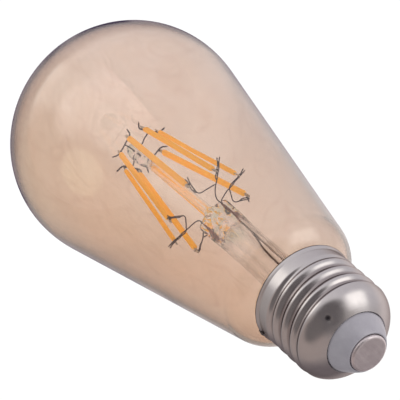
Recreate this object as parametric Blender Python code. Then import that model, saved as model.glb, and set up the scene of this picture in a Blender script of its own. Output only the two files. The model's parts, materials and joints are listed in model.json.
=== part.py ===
"""ST64 LED-filament light bulb with an E27 screw cap, drawn cap-up as it hangs in a lampholder.

Metres, +Z up. The origin is the centre of the contact's flat face and the bulb's axis is the Z axis, so
everything lies below the origin. Places along the axis are written as depths: depth d is the plane z = -d.
An azimuth is measured about +Z from +X, in degrees where it is a constant.
"""

import math

import bmesh
import bpy
from mathutils import Matrix, Vector

MM = 0.001
GAP = 0.3 * MM

# Glass envelope: a slightly flattened dome, a cone tangent to it, a shoulder and a neck inside the cap.
GLASS_RADIUS = 32 * MM
DOME_LENGTH = 30.1 * MM
DOME_CENTRE_DEPTH = 108 * MM
CONE_HALF_ANGLE = math.radians(11.25)
SHOULDER_RADIUS = 9.2 * MM
SHOULDER_CENTRE = (8.98 * MM, 36.29 * MM)
NECK_RADIUS = 10.9 * MM
NECK_FILLET = 1.5 * MM
NECK_END_DEPTH = 20.8 * MM
GLASS_WALL = 0.9 * MM

# E27 cap shell: 26.2 mm over the crests, 7 threads to the inch.
CREST_RADIUS = 13.13 * MM
THREAD_HEIGHT = 1.0 * MM
THREAD_PITCH = 25.4 / 7 * MM
FIRST_CREST_DEPTH = 1.9 * MM
THREAD_FADES = ((10.0 * MM, 12.4 * MM), (21.6 * MM, 23.6 * MM))
SHELL_START_DEPTH = 5.5 * MM
SHELL_DOME_DEPTH = 12.4 * MM
SHELL_MOUTH_RADIUS = 8.2 * MM
SHELL_DOME_POWER = 2.3
LIP_START_DEPTH = 26.0 * MM
LIP_END_DEPTH = 27.7 * MM
LIP_RADIUS = 13.54 * MM
SHELL_WALL = 0.3 * MM

# Contact and insulator.
CONTACT_RADIUS = 4.8 * MM
CONTACT_FLAT_RADIUS = 4.1 * MM
CONTACT_THICKNESS = 1.75 * MM
INSULATOR_HOLE = 1.2 * MM
INSULATOR_DEPTH = 8.4 * MM
INSULATOR_RIM_DEPTH = 0.95 * MM
INSULATOR_STEPS = ((5.4 * MM, 0.85 * MM), (7.5 * MM, 5.1 * MM), (7.5 * MM, 6.2 * MM), (9.0 * MM, 7.6 * MM))

# Cement ring that holds the cap on the neck, with a slot for the neutral wire.
CEMENT_START_DEPTH = 23.8 * MM
CEMENT_END_DEPTH = 26.2 * MM
SLOT_RADIUS = 1.0 * MM

# Stem: a flared tube pressed flat at its inner end, an exhaust tube in it and a rod with a button above it.
FLARE_DEPTH = 21.2 * MM
FLARE_RADIUS = 9.6 * MM
STEM_RADIUS = 4.7 * MM
STEM_WALL = 0.9 * MM
PRESS_START_DEPTH = 55 * MM
PRESS_DEPTH = 67.6 * MM
PRESS_HALF_WIDTH = 4.9 * MM
PRESS_HALF_THICKNESS = 1.9 * MM
CAVITY_DEPTH = 58.2 * MM
EXHAUST_RADIUS = 2.0 * MM
EXHAUST_WALL = 0.6 * MM
EXHAUST_TIP_DEPTH = 16.4 * MM
ROD_RADIUS = 1.3 * MM
ROD_END_DEPTH = 106.5 * MM
BUTTON_RADIUS = 2.0 * MM
BUTTON_START_DEPTH = 98 * MM
ROD_LEAN = math.radians(2)

# Filaments: eight strips, one at each eighth of a turn, leaning a few degrees as they are mounted by hand.
FILAMENTS = 8
FILAMENT_TOP = (6.6 * MM, 102 * MM)
FILAMENT_BOTTOM = (11.3 * MM, 70 * MM)
FILAMENT_HALF_WIDTH = 0.85 * MM
FILAMENT_HALF_THICKNESS = 0.65 * MM
TAB_HALF_WIDTH = 0.4 * MM
TAB_HALF_THICKNESS = 0.22 * MM
TAB_LENGTH = 1.7 * MM
WELD_OFFSET = 1.0 * MM
TOP_LEAN = (2, -2, -12, -14, 0, 0, -2, -5)
BOTTOM_LEAN = (-7, -12, -5, 10, 5, -2, -5, 0)

# Wires.
SUPPORT_WIRE_RADIUS = 0.2 * MM
LEAD_RADIUS = 0.25 * MM
TOP_PAIRS = ((6, 7), (0, 1), (2, 3), (4, 5))
BOTTOM_PAIRS = ((5, 6), (0, 7), (1, 2), (4, 3))
ARM_TIP_RADIUS = 13.6 * MM
ARM_TIP_AZIMUTHS = (350, 44, 75, 129, 181, 211, 259, 304)
ARM_TIP_DEPTHS = tuple(depth * MM for depth in (69, 72.3, 67.8, 71, 69, 72, 69.3, 67.6))
BOTTOM_ROOT = (3.4 * MM, 0.9 * MM)
ARM_ELBOW_RADIUS = 7.0 * MM
FREE_END = 2.3 * MM
BEHIND_THE_STEM = (1, 4)  # arms that start from the press's +Y side
LEAD_RING = 3.2 * MM
NEUTRAL_AZIMUTH = 350
NEUTRAL_RING = 11.4 * MM
INSULATED_RADIUS = 0.45 * MM
SOLDER_RADIUS = 0.75 * MM

# Driver in the cap: boards, and parts as (size along X, Y and Z) with a place in plan.
BOARD_RADIUS = 10.4 * MM
BOARD_DEPTH = 13.2 * MM
BOARD_THICKNESS = 1.0 * MM
BOARD_BACK = BOARD_DEPTH + BOARD_THICKNESS
RECTIFIER_SIZE = (4.6 * MM, 3.8 * MM, 2.0 * MM)
RECTIFIER_PLACE = (5.0 * MM, -3.4 * MM)
CHIP_SIZE = (4.8 * MM, 3.8 * MM, 1.6 * MM)
CHIP_PLACE = (-4.6 * MM, -3.4 * MM)
RESISTOR_RADIUS = 1.25 * MM
RESISTOR_LENGTH = 6.8 * MM
RESISTOR_Y = 5.2 * MM
CAPACITOR_RADIUS = 2.5 * MM
CAPACITOR_LENGTH = 6.4 * MM
CAPACITOR_Y = 6.0 * MM
COIL_PLACE = (-6.3 * MM, 4.2 * MM, 0)
COIL_LENGTH = 4.6 * MM
COIL_FLANGE_RADIUS = 2.3 * MM
COIL_CORE_RADIUS = 1.1 * MM
COIL_FLANGE = 0.8 * MM
RADIO_BOARD_SIZE = (9.0 * MM, 0.8 * MM, 6.0 * MM)
RADIO_BOARD_Y = -5.4 * MM
RADIO_SHIELD_SIZE = (5.4 * MM, 1.4 * MM, 4.2 * MM)
RADIO_SHIELD_PLACE = (-1.4 * MM, -6.8 * MM)
ANTENNA_START = (3.6 * MM, -6.3 * MM)
ANTENNA_STEP = 1.6 * MM
ANTENNA_REACH = 1.2 * MM

# The two leads between the press and the driver, as (ring radius, azimuth, depth). Both leave the press on
# its -X side, and one then crosses in front of the exhaust tube.
LEADS = {
    "lead_live": (
        (LEAD_RING, 187, 57.3 * MM),
        (LEAD_RING, 188, 53.5 * MM),
        (LEAD_RING, 235, 43.5 * MM),
        (LEAD_RING, 238, 33.0 * MM),
        (5.2 * MM, 230, 22.5 * MM),
        (5.6 * MM, 225, BOARD_BACK + GAP),
    ),
    "lead_neutral": (
        (LEAD_RING, 173, 57.3 * MM),
        (LEAD_RING, 172, 50.0 * MM),
        (LEAD_RING, 172, 33.0 * MM),
        (5.2 * MM, 172, 22.5 * MM),
        (5.8 * MM, 172, BOARD_BACK + GAP),
    ),
}

ROUND_STEPS = 40
SHELL_STEPS = 36
SMALL_STEPS = 16
WIRE_SIDES = 6


# ---------------------------------------------------------------- helpers


def clear_scene():
    for old in list(bpy.data.objects):
        bpy.data.objects.remove(old, do_unlink=True)


def material(name, colour, roughness, metallic=0.0, transmission=0.0):
    found = bpy.data.materials.get(name)
    if found:
        return found
    made = bpy.data.materials.new(name)
    made.use_nodes = True
    shader = made.node_tree.nodes["Principled BSDF"]
    shader.inputs["Base Color"].default_value = (*colour, 1)
    shader.inputs["Roughness"].default_value = roughness
    shader.inputs["Metallic"].default_value = metallic
    shader.inputs["Transmission Weight"].default_value = transmission
    made.diffuse_color = (*colour, 1)
    return made


def make_object(name, mesh_bm, look, smooth_angle=40):
    bmesh.ops.recalc_face_normals(mesh_bm, faces=mesh_bm.faces)
    mesh = bpy.data.meshes.new(name)
    mesh_bm.to_mesh(mesh)
    mesh_bm.free()
    mesh.materials.append(look)
    mesh.shade_smooth()
    mesh.set_sharp_from_angle(angle=math.radians(smooth_angle))
    made = bpy.data.objects.new(name, mesh)
    bpy.context.scene.collection.objects.link(made)
    return made


def polar(radius, azimuth, depth):
    return Vector((radius * math.cos(azimuth), radius * math.sin(azimuth), -depth))


def arc(centre, radius, start, end, steps, length=None):
    """(radius, depth) points on an arc; 0 degrees points away from the axis and 90 degrees to the dome.

    With a length, the arc is part of an oval that reaches that far along the axis.
    """
    along = length or radius
    turns = [start + (end - start) * i / steps for i in range(steps + 1)]
    return [(centre[0] + radius * math.cos(t), centre[1] + along * math.sin(t)) for t in turns]


def skin(mesh_bm, loops, closed):
    """Joins neighbouring loops of vertices with faces; a loop of one vertex is a pole."""
    pairs = list(zip(loops, loops[1:]))
    if closed:
        pairs.append((loops[-1], loops[0]))
    for lower, upper in pairs:
        count = max(len(lower), len(upper))
        for i in range(count):
            j = (i + 1) % count
            if len(lower) == 1:
                mesh_bm.faces.new((lower[0], upper[j], upper[i]))
            elif len(upper) == 1:
                mesh_bm.faces.new((lower[i], lower[j], upper[0]))
            else:
                mesh_bm.faces.new((lower[i], lower[j], upper[j], upper[i]))


def ring_solid(name, rings, look, steps=ROUND_STEPS, closed=False, smooth_angle=40):
    """A solid from oval rings (half width along X, half width along Y, depth).

    A ring of no width is a pole. A closed solid joins its last ring to its first, as a tube does.
    """
    mesh_bm = bmesh.new()
    loops = []
    for half_x, half_y, depth in rings:
        if half_x < 1e-7:
            loops.append([mesh_bm.verts.new((0, 0, -depth))])
            continue
        turns = [2 * math.pi * i / steps for i in range(steps)]
        loops.append(
            [mesh_bm.verts.new((half_x * math.cos(t), half_y * math.sin(t), -depth)) for t in turns]
        )
    skin(mesh_bm, loops, closed)
    return make_object(name, mesh_bm, look, smooth_angle)


def turned(name, outline, look, steps=ROUND_STEPS, closed=False, smooth_angle=40):
    rings = [(radius, radius, depth) for radius, depth in outline]
    return ring_solid(name, rings, look, steps, closed, smooth_angle)


def block(name, size, location, look, bevel=0.15 * MM):
    mesh_bm = bmesh.new()
    bmesh.ops.create_cube(mesh_bm, size=1)
    bmesh.ops.scale(mesh_bm, vec=size, verts=mesh_bm.verts)
    made = make_object(name, mesh_bm, look)
    made.location = location
    edge = made.modifiers.new("Edge", "BEVEL")
    edge.width = bevel
    edge.segments = 1
    return made


def rounded_path(points, bend):
    """The path with each corner replaced by a short curve."""
    path = [points[0]]
    for before, corner, after in zip(points, points[1:], points[2:]):
        reach_in = min(bend, (corner - before).length * 0.45)
        reach_out = min(bend, (after - corner).length * 0.45)
        start = corner + (before - corner).normalized() * reach_in
        end = corner + (after - corner).normalized() * reach_out
        for share in (0, 0.5, 1):
            path.append(start.lerp(corner, share).lerp(corner.lerp(end, share), share))
    path.append(points[-1])
    return path


def wire(name, points, radius, look, bend=1.2 * MM, sides=WIRE_SIDES):
    """A round wire swept along a bent path."""
    path = rounded_path(points, bend)
    mesh_bm = bmesh.new()
    loops = [[mesh_bm.verts.new(path[0])]]
    side = (path[1] - path[0]).orthogonal().normalized()
    for i, point in enumerate(path):
        ahead = path[min(i + 1, len(path) - 1)] - path[max(i - 1, 0)]
        ahead.normalize()
        side = (side - ahead * side.dot(ahead)).normalized()
        up = ahead.cross(side)
        turns = [2 * math.pi * j / sides for j in range(sides)]
        loops.append(
            [mesh_bm.verts.new(point + (side * math.cos(t) + up * math.sin(t)) * radius) for t in turns]
        )
    loops.append([mesh_bm.verts.new(path[-1])])
    skin(mesh_bm, loops, False)
    return make_object(name, mesh_bm, look, 80)


def combine(kept, other, operation):
    other.hide_render = True
    other.display_type = "WIRE"
    joined = kept.modifiers.new(operation.title(), "BOOLEAN")
    joined.operation = operation
    joined.object = other
    joined.solver = "EXACT"


# ---------------------------------------------------------------- materials


def looks():
    return {
        "glass": material("amber_glass", (0.86, 0.62, 0.40), 0.05, 0.0, 0.8),
        "clear": material("clear_glass", (0.90, 0.87, 0.80), 0.05, 0.0, 0.8),
        "nickel": material("nickel_plate", (0.62, 0.60, 0.60), 0.22, 1.0),
        "contact": material("contact_metal", (0.45, 0.42, 0.42), 0.38, 1.0),
        "insulator": material("grey_insulator", (0.42, 0.40, 0.46), 0.45),
        "cement": material("cap_cement", (0.74, 0.68, 0.56), 0.9),
        "phosphor": material("phosphor", (0.93, 0.53, 0.12), 0.5),
        "wire": material("support_wire", (0.30, 0.25, 0.24), 0.35, 1.0),
        "lead": material("lead_wire", (0.42, 0.30, 0.24), 0.35, 1.0),
        "board": material("circuit_board", (0.04, 0.22, 0.10), 0.5),
        "black": material("black_package", (0.03, 0.03, 0.035), 0.5),
        "sleeve": material("capacitor_sleeve", (0.05, 0.07, 0.16), 0.4),
        "tin": material("tinned_steel", (0.66, 0.66, 0.67), 0.3, 1.0),
        "ferrite": material("ferrite", (0.12, 0.11, 0.11), 0.7),
        "copper": material("enamelled_copper", (0.55, 0.22, 0.09), 0.3, 1.0),
        "resistor": material("resistor_body", (0.20, 0.35, 0.52), 0.5),
        "red": material("red_insulation", (0.55, 0.06, 0.05), 0.5),
        "solder": material("solder", (0.34, 0.32, 0.32), 0.4, 1.0),
    }


# ---------------------------------------------------------------- glass envelope


def glass_surface(inset):
    """(radius, depth) from the dome's tip to the neck's end, lying inset inside the outer surface."""
    reach = SHOULDER_RADIUS + NECK_FILLET
    fillet_radius = NECK_RADIUS + NECK_FILLET
    across = fillet_radius - SHOULDER_CENTRE[0]
    along = math.sqrt(reach**2 - across**2)
    fillet_centre = (fillet_radius, SHOULDER_CENTRE[1] - along)
    turn = math.atan2(along, across)
    centre = (0, DOME_CENTRE_DEPTH)
    dome = arc(centre, GLASS_RADIUS - inset, math.pi / 2, 0, 11, DOME_LENGTH - inset)
    tangent = arc(centre, GLASS_RADIUS - inset, 0, -CONE_HALF_ANGLE, 2)[1:]
    shoulder = arc(SHOULDER_CENTRE, SHOULDER_RADIUS - inset, -CONE_HALF_ANGLE, -turn, 6)
    fillet = arc(fillet_centre, NECK_FILLET + inset, math.pi - turn, math.pi, 3)
    return dome + tangent + shoulder + fillet + [(NECK_RADIUS - inset, NECK_END_DEPTH)]


def glass_envelope(look):
    outline = glass_surface(0) + glass_surface(GLASS_WALL)[::-1]
    outline[0] = (0, outline[0][1])
    outline[-1] = (0, outline[-1][1])
    turned("glass_envelope", outline, look["glass"])


# ---------------------------------------------------------------- cap


def fade(value, start, end):
    share = min(max((value - start) / (end - start), 0), 1)
    return share * share * (3 - 2 * share)


def shell_radius(depth, azimuth):
    """Outer radius of the cap shell: dome, rolled thread, collar and lip."""
    crest = CREST_RADIUS
    if depth < SHELL_DOME_DEPTH:
        share = (SHELL_DOME_DEPTH - depth) / (SHELL_DOME_DEPTH - SHELL_START_DEPTH)
        crest -= (CREST_RADIUS - SHELL_MOUTH_RADIUS) * share**SHELL_DOME_POWER
    crest += (LIP_RADIUS - CREST_RADIUS) * fade(depth, LIP_START_DEPTH, LIP_END_DEPTH)
    (rise_start, rise_end), (fall_start, fall_end) = THREAD_FADES
    cut = fade(depth, rise_start, rise_end) * (1 - fade(depth, fall_start, fall_end))
    turn = 2 * math.pi * (depth - FIRST_CREST_DEPTH) / THREAD_PITCH + azimuth
    return crest - THREAD_HEIGHT * cut * (1 - math.cos(turn)) / 2


def screw_shell(look):
    rise, fall = THREAD_FADES
    bands = (
        (SHELL_START_DEPTH, rise[0], 6),
        (rise[0], fall[1], 30),
        (fall[1], LIP_START_DEPTH, 2),
        (LIP_START_DEPTH, LIP_END_DEPTH, 4),
    )
    depths = [a + (b - a) * i / steps for a, b, steps in bands for i in range(steps)]
    depths.append(LIP_END_DEPTH)
    mesh_bm = bmesh.new()
    turns = [2 * math.pi * i / SHELL_STEPS for i in range(SHELL_STEPS)]
    outer = []
    inner = []
    for depth in depths:
        lean = fade(SHELL_DOME_DEPTH - depth, 0, SHELL_DOME_DEPTH - SHELL_START_DEPTH)
        drop = SHELL_WALL * lean
        radii = [shell_radius(depth, t) for t in turns]
        outer.append([mesh_bm.verts.new(polar(r, t, depth)) for r, t in zip(radii, turns)])
        inner.append(
            [mesh_bm.verts.new(polar(r - SHELL_WALL, t, depth + drop)) for r, t in zip(radii, turns)]
        )
    skin(mesh_bm, outer + inner[::-1], True)
    make_object("screw_shell", mesh_bm, look["nickel"], 50)


def centre_contact(look):
    corner = CONTACT_RADIUS - CONTACT_FLAT_RADIUS
    edge = arc((CONTACT_FLAT_RADIUS, corner), corner, -math.pi / 2, 0, 3)
    outline = [(0, 0)] + edge + [(CONTACT_RADIUS, CONTACT_THICKNESS), (0, CONTACT_THICKNESS)]
    turned("centre_contact", outline, look["contact"], 32)


def cap_insulator(look):
    seat_radius = CONTACT_RADIUS + GAP
    seat_depth = CONTACT_THICKNESS + GAP
    outline = [
        (seat_radius, seat_depth),
        (seat_radius, INSULATOR_RIM_DEPTH),
        *INSULATOR_STEPS,
        (INSULATOR_STEPS[-1][0], INSULATOR_DEPTH),
        (INSULATOR_HOLE, INSULATOR_DEPTH),
        (INSULATOR_HOLE, seat_depth),
    ]
    turned("cap_insulator", outline, look["insulator"], 36, True)


def cap_cement(look):
    inner = NECK_RADIUS + GAP
    outer = CREST_RADIUS - SHELL_WALL - GAP
    top = CEMENT_START_DEPTH
    bottom = CEMENT_END_DEPTH
    ring = [(inner, top), (outer, top), (outer, bottom), (inner, bottom)]
    made = turned("cap_cement", ring, look["cement"], 36, True)
    past = 2 * MM
    hole = [(0, top - past), (SLOT_RADIUS, top - past), (SLOT_RADIUS, bottom + past), (0, bottom + past)]
    slot = turned("neutral_slot", hole, look["cement"], 12)
    slot.location = polar(NEUTRAL_RING, math.radians(NEUTRAL_AZIMUTH), 0)
    combine(made, slot, "DIFFERENCE")


# ---------------------------------------------------------------- stem


def stem_flare(look):
    outer = [
        (FLARE_RADIUS, FLARE_RADIUS, FLARE_DEPTH),
        (FLARE_RADIUS, FLARE_RADIUS, FLARE_DEPTH + STEM_WALL),
        (7.4 * MM, 7.4 * MM, 24.2 * MM),
        (5.8 * MM, 5.8 * MM, 27.5 * MM),
        (5.0 * MM, 5.0 * MM, 32 * MM),
        (STEM_RADIUS, STEM_RADIUS, 38 * MM),
        (STEM_RADIUS, STEM_RADIUS, PRESS_START_DEPTH),
        (4.8 * MM, 3.6 * MM, 58.5 * MM),
        (PRESS_HALF_WIDTH, 2.1 * MM, 61.5 * MM),
        (PRESS_HALF_WIDTH, PRESS_HALF_THICKNESS, 63 * MM),
        (PRESS_HALF_WIDTH, PRESS_HALF_THICKNESS, PRESS_DEPTH - 0.6 * MM),
        (PRESS_HALF_WIDTH - 0.6 * MM, PRESS_HALF_THICKNESS - 0.5 * MM, PRESS_DEPTH),
        (0, 0, PRESS_DEPTH),
    ]
    inner = [
        (0, 0, CAVITY_DEPTH),
        (3.6 * MM, 2.5 * MM, CAVITY_DEPTH),
        (3.8 * MM, 3.3 * MM, 56.5 * MM),
        (STEM_RADIUS - STEM_WALL, STEM_RADIUS - STEM_WALL, PRESS_START_DEPTH - 1 * MM),
        (STEM_RADIUS - STEM_WALL, STEM_RADIUS - STEM_WALL, 38 * MM),
        (4.2 * MM, 4.2 * MM, 31 * MM),
        (5.1 * MM, 5.1 * MM, 26.3 * MM),
        (6.8 * MM, 6.8 * MM, 23.2 * MM),
        (8.6 * MM, 8.6 * MM, FLARE_DEPTH),
    ]
    ring_solid("stem_flare", inner + outer, look["clear"], 28)


def exhaust_tube(look):
    start = CAVITY_DEPTH - 2 * GAP
    bore = EXHAUST_RADIUS - EXHAUST_WALL
    outline = [
        (0, EXHAUST_TIP_DEPTH + 2.2 * MM),
        (bore * 0.6, EXHAUST_TIP_DEPTH + 2.6 * MM),
        (bore, EXHAUST_TIP_DEPTH + 4 * MM),
        (bore, start),
        (EXHAUST_RADIUS, start),
        (EXHAUST_RADIUS, EXHAUST_TIP_DEPTH + 3 * MM),
        (EXHAUST_RADIUS * 0.6, EXHAUST_TIP_DEPTH + 0.8 * MM),
        (0, EXHAUST_TIP_DEPTH),
    ]
    turned("exhaust_tube", outline, look["clear"], SMALL_STEPS)


def stem_rod(look):
    centre_depth = BUTTON_START_DEPTH + BUTTON_RADIUS
    end_centre = ROD_END_DEPTH - BUTTON_RADIUS
    turn = math.acos(ROD_RADIUS / BUTTON_RADIUS)
    lower = arc((0, centre_depth), BUTTON_RADIUS, -turn, 0, 2)
    upper = arc((0, end_centre), BUTTON_RADIUS, 0, math.pi / 2, 4)
    outline = [(0, PRESS_DEPTH + GAP), (ROD_RADIUS, PRESS_DEPTH + GAP)] + lower + upper
    outline[-1] = (0, ROD_END_DEPTH)
    rod = turned("stem_rod", [(r, d - PRESS_DEPTH) for r, d in outline], look["clear"], SMALL_STEPS)
    rod.location = (0, 0, -PRESS_DEPTH)
    rod.rotation_euler = (0, -ROD_LEAN, 0)


# ---------------------------------------------------------------- filaments and their wires


def filament_azimuths(index):
    step = 360 / FILAMENTS
    top = math.radians(step * index + TOP_LEAN[index])
    bottom = math.radians(step * index + BOTTOM_LEAN[index])
    return top, bottom


def filament_ends(index):
    top, bottom = filament_azimuths(index)
    return polar(FILAMENT_TOP[0], top, FILAMENT_TOP[1]), polar(
        FILAMENT_BOTTOM[0], bottom, FILAMENT_BOTTOM[1]
    )


def filament_frame(index):
    """The dome end, and the directions across the strip, around the bulb and along the strip to the cap."""
    start, end = filament_ends(index)
    along = (end - start).normalized()
    middle = (start + end) / 2
    around = Vector((0, 0, 1)).cross(middle).normalized()
    around = (around - along * around.dot(along)).normalized()
    return start, around.cross(along), around, along


def filament(index, look):
    start, end = filament_ends(index)
    length = (end - start).length
    step = 0.3 * MM
    rings = [
        (0, 0, TAB_LENGTH),
        (TAB_HALF_THICKNESS, TAB_HALF_WIDTH, TAB_LENGTH),
        (TAB_HALF_THICKNESS, TAB_HALF_WIDTH, 0),
        (FILAMENT_HALF_THICKNESS * 0.75, FILAMENT_HALF_WIDTH * 0.75, 0),
        (FILAMENT_HALF_THICKNESS, FILAMENT_HALF_WIDTH, -step),
        (FILAMENT_HALF_THICKNESS, FILAMENT_HALF_WIDTH, step - length),
        (FILAMENT_HALF_THICKNESS * 0.75, FILAMENT_HALF_WIDTH * 0.75, -length),
        (TAB_HALF_THICKNESS, TAB_HALF_WIDTH, -length),
        (TAB_HALF_THICKNESS, TAB_HALF_WIDTH, -length - TAB_LENGTH),
        (0, 0, -length - TAB_LENGTH),
    ]
    made = ring_solid(f"filament_{index + 1}", rings, look["phosphor"], 8, False, 60)
    _, across, around, along = filament_frame(index)
    turn = Matrix((across, around, along)).transposed()
    made.matrix_world = Matrix.Translation(start) @ turn.to_4x4()


def top_link(number, pair, look):
    """A wire across the dome ends of two neighbours, with a stalk to the rod's button."""
    clear = TAB_HALF_THICKNESS + GAP + SUPPORT_WIRE_RADIUS
    welds = []
    outward = []
    for index in pair:
        start, across, _, along = filament_frame(index)
        radial = Vector((start.x, start.y, 0)).normalized()
        welds.append(start - along * WELD_OFFSET - radial * clear)
        outward.append(radial)
    chord = (welds[1] - welds[0]).normalized()
    past = TAB_HALF_WIDTH + GAP + 2 * SUPPORT_WIRE_RADIUS
    ends = [welds[0] - chord * past, welds[1] + chord * past]
    tips = [ends[i] + (outward[i] + chord * (2 * i - 1) * 0.15).normalized() * FREE_END for i in (0, 1)]
    name = f"top_link_{number}"
    made = wire(name, [tips[0], ends[0], ends[1], tips[1]], SUPPORT_WIRE_RADIUS, look["wire"], 0.6 * MM)
    middle = (welds[0] + welds[1]) / 2
    button = Vector((math.tan(ROD_LEAN) * (-middle.z - PRESS_DEPTH), 0, middle.z))
    inward = (button - middle).normalized()
    reach = (button - middle).length - BUTTON_RADIUS - GAP
    stalk_path = [middle, middle + inward * reach]
    stalk = wire(name + "_stalk", stalk_path, SUPPORT_WIRE_RADIUS * 0.9, look["wire"])
    combine(made, stalk, "UNION")


def arm_points(index):
    """Elbow, weld and free tip of the arm that runs out beside a filament's cap end."""
    _, _, around, along = filament_frame(index)
    end = filament_ends(index)[1]
    tip = polar(ARM_TIP_RADIUS, math.radians(ARM_TIP_AZIMUTHS[index]), ARM_TIP_DEPTHS[index])
    side = math.copysign(TAB_HALF_WIDTH + GAP + SUPPORT_WIRE_RADIUS, around.dot(tip - end))
    weld = end + along * WELD_OFFSET + around * side
    elbow = weld * (ARM_ELBOW_RADIUS / Vector((weld.x, weld.y, 0)).length)
    elbow.z = weld.z
    return elbow, weld, tip


def bottom_link(number, pair, look):
    """A wire from the press to one filament, with a branch to its neighbour."""
    elbow, weld, tip = arm_points(pair[0])
    root = Vector((math.copysign(BOTTOM_ROOT[0], elbow.x), 0, -PRESS_DEPTH - GAP))
    root.y = BOTTOM_ROOT[1] if pair[0] in BEHIND_THE_STEM else -BOTTOM_ROOT[1]
    rise = root + Vector((0, 0, -1.2 * MM))
    name = f"bottom_link_{number}"
    made = wire(name, [root, rise, elbow, weld, tip], SUPPORT_WIRE_RADIUS, look["wire"])
    other_elbow, other_weld, other_tip = arm_points(pair[1])
    start = elbow.lerp(weld, 0.12)
    branch = [start, other_elbow, other_weld, other_tip]
    branch_wire = wire(name + "_branch", branch, SUPPORT_WIRE_RADIUS * 0.95, look["wire"])
    combine(made, branch_wire, "UNION")


def lead(name, look):
    points = [polar(ring, math.radians(azimuth), depth) for ring, azimuth, depth in LEADS[name]]
    wire(name, points, LEAD_RADIUS, look["lead"], 3 * MM)


# ---------------------------------------------------------------- driver in the cap


def cylinder(name, radius, start_depth, end_depth, place, look, steps=SMALL_STEPS):
    edge = 0.2 * MM
    outline = [
        (0, start_depth),
        (radius - edge, start_depth),
        (radius, start_depth + edge),
        (radius, end_depth - edge),
        (radius - edge, end_depth),
        (0, end_depth),
    ]
    made = turned(name, outline, look, steps)
    made.location = (place[0], place[1], 0)
    return made


def on_board(name, size, place, look):
    """A package on the board's contact side."""
    block(name, size, (*place, -BOARD_DEPTH + GAP + size[2] / 2), look)


def inductor(look):
    start = BOARD_BACK + GAP
    end = start + COIL_LENGTH
    flange = COIL_FLANGE_RADIUS
    core = COIL_CORE_RADIUS
    waist = (start + COIL_FLANGE, end - COIL_FLANGE)
    outline = [(0, start), (flange, start), (flange, waist[0]), (core, waist[0])]
    outline += [(core, waist[1]), (flange, waist[1]), (flange, end), (0, end)]
    turned("inductor_core", outline, look["ferrite"], SMALL_STEPS).location = COIL_PLACE
    inner = core + GAP
    outer = flange - 0.2 * MM
    top, bottom = waist[0] + GAP, waist[1] - GAP
    coil = [(inner, top), (outer, top), (outer, bottom), (inner, bottom)]
    turned("inductor_winding", coil, look["copper"], SMALL_STEPS, True).location = COIL_PLACE


def radio(look):
    top = -(BOARD_BACK + GAP)
    middle = top - RADIO_BOARD_SIZE[2] / 2
    block("radio_board", RADIO_BOARD_SIZE, (0, RADIO_BOARD_Y, middle), look["board"], 0.1 * MM)
    block("radio_shield", RADIO_SHIELD_SIZE, (*RADIO_SHIELD_PLACE, middle), look["tin"])
    near, y = ANTENNA_START
    far = near - ANTENNA_REACH
    rows = [top - ANTENNA_STEP * (0.5 + i) for i in range(4)]
    corners = [(near, rows[0]), (near, rows[1]), (far, rows[1])]
    corners += [(far, rows[2]), (near, rows[2]), (near, rows[3])]
    wire("radio_antenna", [Vector((x, y, z)) for x, z in corners], 0.2 * MM, look["copper"], 0.3 * MM)


def driver(look):
    cylinder("driver_board", BOARD_RADIUS, BOARD_DEPTH, BOARD_BACK, (0, 0), look["board"], 36)
    on_board("bridge_rectifier", RECTIFIER_SIZE, RECTIFIER_PLACE, look["black"])
    on_board("driver_chip", CHIP_SIZE, CHIP_PLACE, look["black"])
    half = RESISTOR_LENGTH / 2
    resistor = cylinder("fusible_resistor", RESISTOR_RADIUS, -half, half, (0, 0), look["resistor"])
    resistor.rotation_euler = (0, math.pi / 2, 0)
    resistor.location = (0, RESISTOR_Y, -BOARD_DEPTH + GAP + RESISTOR_RADIUS)
    start = BOARD_BACK + GAP
    end = start + CAPACITOR_LENGTH
    cylinder("input_capacitor", CAPACITOR_RADIUS, start, end, (0, CAPACITOR_Y), look["sleeve"], 20)
    inductor(look)
    radio(look)


def cap_wires(look):
    live = [
        Vector((0, 0, -CONTACT_THICKNESS - GAP)),
        Vector((0, 0, -10 * MM)),
        Vector((0, 2.4 * MM, -11 * MM)),
        Vector((0, 2.4 * MM, -BOARD_DEPTH + GAP)),
    ]
    wire("live_wire", live, INSULATED_RADIUS, look["red"])
    turn = math.radians(NEUTRAL_AZIMUTH)
    neutral = [
        polar(9.2 * MM, turn, BOARD_BACK + GAP),
        polar(9.2 * MM, turn, 15.6 * MM),
        polar(NEUTRAL_RING, turn, 18.6 * MM),
        polar(NEUTRAL_RING, turn, 26.2 * MM),
        polar(12.6 * MM, turn, 27.65 * MM),
        polar(13.5 * MM, turn, 28.1 * MM),
    ]
    wire("neutral_wire", neutral, 0.2 * MM, look["lead"], 1 * MM)
    back = 0.35 * MM
    edge = SOLDER_RADIUS
    spot = [(0, 0), (edge * 0.67, 0.06 * MM), (edge, 0.25 * MM), (edge, back), (0, back)]
    solder = turned("rim_solder", spot, look["solder"], 12)
    outward = polar(1, turn, 0)
    solder.rotation_euler = outward.to_track_quat("Z", "Y").to_euler()
    solder.location = polar(LIP_RADIUS + GAP + back, turn, LIP_END_DEPTH - SOLDER_RADIUS)


def main():
    clear_scene()
    look = looks()
    glass_envelope(look)
    screw_shell(look)
    centre_contact(look)
    cap_insulator(look)
    cap_cement(look)
    stem_flare(look)
    exhaust_tube(look)
    stem_rod(look)
    for index in range(FILAMENTS):
        filament(index, look)
    for number, pair in enumerate(TOP_PAIRS, 1):
        top_link(number, pair, look)
    for number, pair in enumerate(BOTTOM_PAIRS, 1):
        bottom_link(number, pair, look)
    for name in LEADS:
        lead(name, look)
    driver(look)
    cap_wires(look)


main()
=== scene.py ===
"""The looks of a filament light bulb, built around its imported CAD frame.

Metres, +Z out of the cap, origin at the centre of the contact's face. Depth d is the plane z = -d, and an
azimuth is measured about +Z from +X.
"""

import math

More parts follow.
